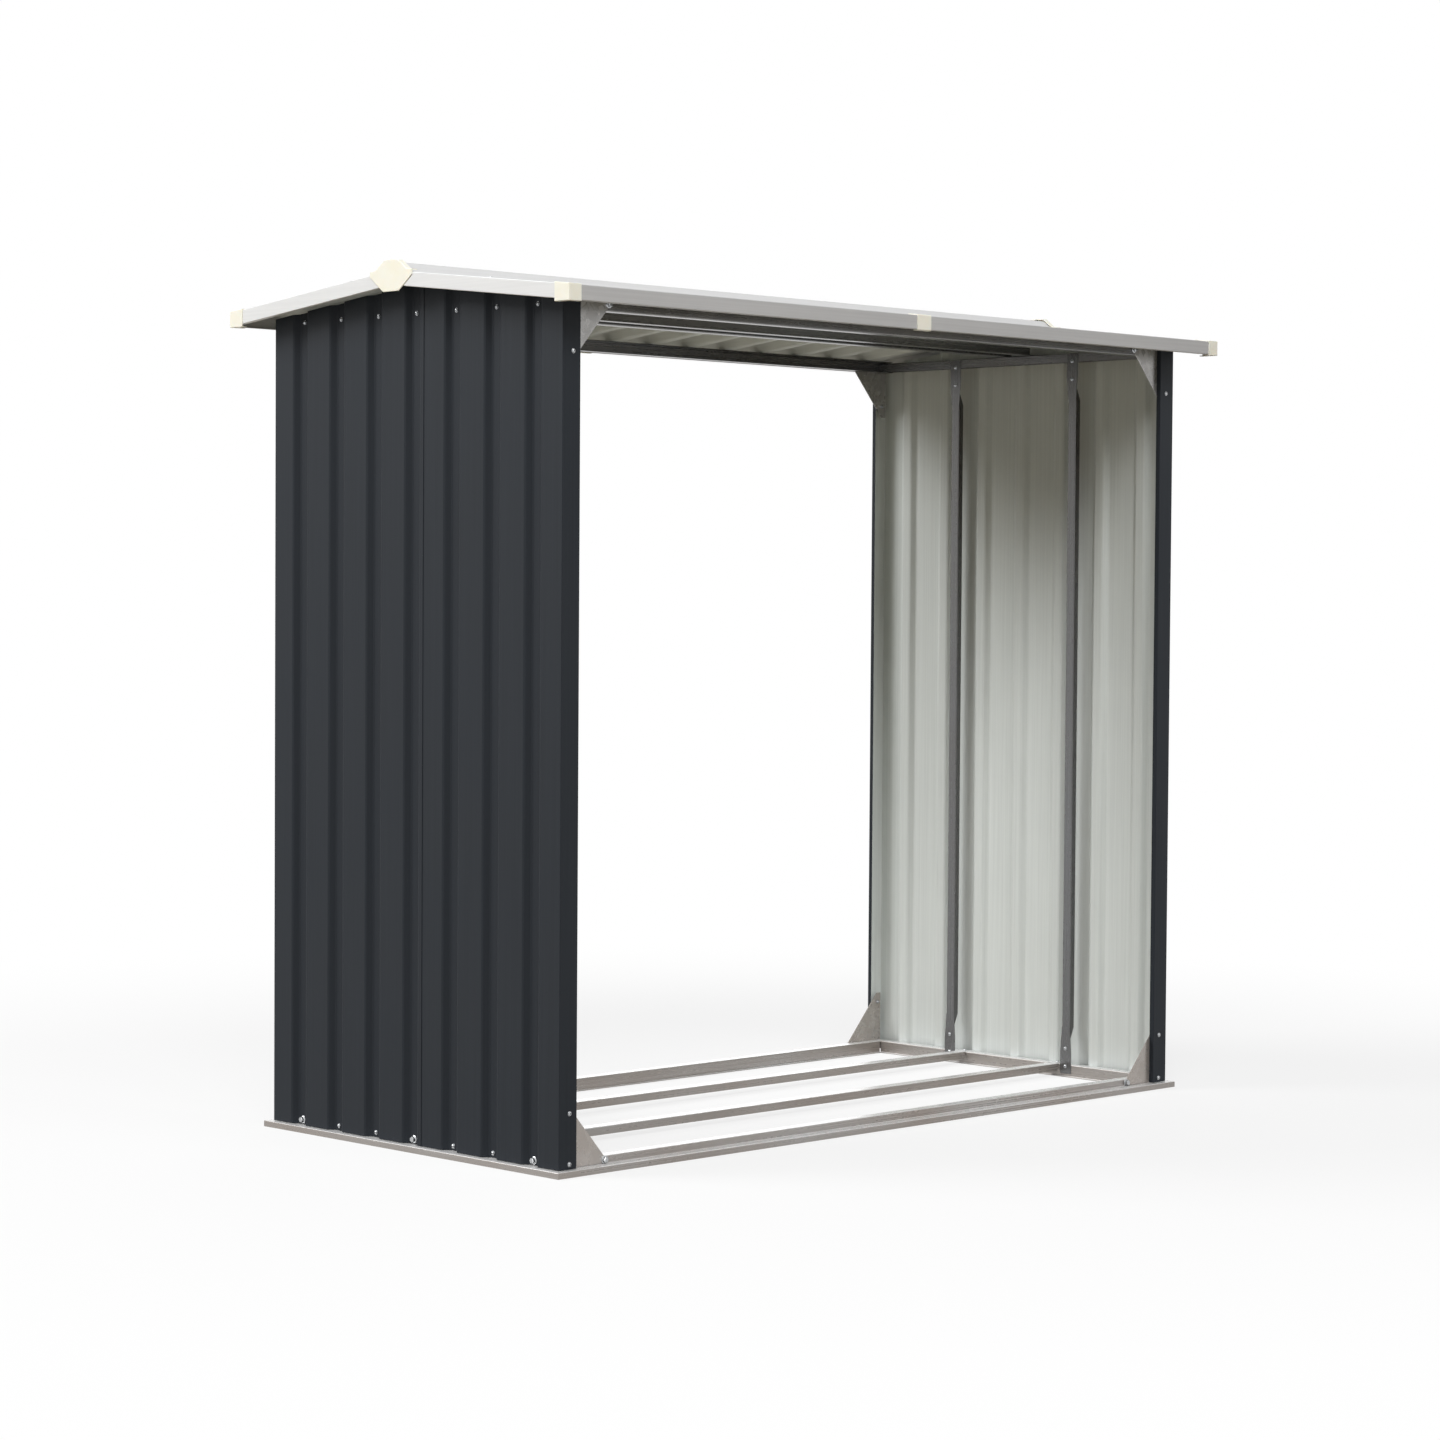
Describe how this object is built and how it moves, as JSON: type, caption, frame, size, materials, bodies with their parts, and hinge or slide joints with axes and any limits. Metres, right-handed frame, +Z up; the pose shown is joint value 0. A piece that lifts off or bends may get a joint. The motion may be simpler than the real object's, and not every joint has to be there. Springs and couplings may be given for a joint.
{
  "type": "log store",
  "caption": "Open-fronted and open-backed steel log store with corrugated side walls, a low gable roof with trims and corner caps, and a folded-section frame with floor joists.",
  "frame": {"origin": "on the ground under the middle of the base", "axes": "+X along the ridge to the right as seen from the front, +Y to the back, +Z up"},
  "size_m": [1.72, 0.91, 1.54],
  "materials": {
    "anthracite_sheet": "satin coil coating, off-white on the inner side",
    "galvanised_steel": "spangled zinc",
    "white_coat": "satin coil coating",
    "cream_plastic": "moulded, fine grain"
  },
  "bodies": {
    "root": {"back_bottom_gussets": "galvanised_steel", "back_eave_joint_cap": "cream_plastic", "back_left_corner_cap": "cream_plastic", "back_left_eave_trim": "white_coat", "back_left_gable_trim": "white_coat", "back_right_corner_cap": "cream_plastic", "back_right_eave_trim": "white_coat", "back_right_gable_trim": "white_coat", "back_top_beam": "galvanised_steel", "back_top_gussets": "galvanised_steel", "base_back_rail": "galvanised_steel", "base_front_rail": "galvanised_steel", "base_left_rail": "galvanised_steel", "base_right_rail": "galvanised_steel", "floor_joist_back": "galvanised_steel", "floor_joist_front": "galvanised_steel", "front_bottom_gussets": "galvanised_steel", "front_eave_joint_cap": "cream_plastic", "front_left_corner_cap": "cream_plastic", "front_left_eave_trim": "white_coat", "front_left_gable_trim": "white_coat", "front_right_corner_cap": "cream_plastic", "front_right_eave_trim": "white_coat", "front_right_gable_trim": "white_coat", "front_top_beam": "galvanised_steel", "front_top_gussets": "galvanised_steel", "left_back_stud": "galvanised_steel", "left_front_stud": "galvanised_steel", "left_ridge_end_cap": "cream_plastic", "left_top_rail": "galvanised_steel", "left_wall_back_panel": "anthracite_sheet", "left_wall_front_panel": "anthracite_sheet", "ridge_capping": "white_coat", "ridge_purlin": "galvanised_steel", "right_back_stud": "galvanised_steel", "right_front_stud": "galvanised_steel", "right_ridge_end_cap": "cream_plastic", "right_top_rail": "galvanised_steel", "right_wall_back_panel": "anthracite_sheet", "right_wall_front_panel": "anthracite_sheet", "roof_back_left_panel": "anthracite_sheet", "roof_back_right_panel": "anthracite_sheet", "roof_front_left_panel": "anthracite_sheet", "roof_front_right_panel": "anthracite_sheet"}
  },
  "joints": []
}
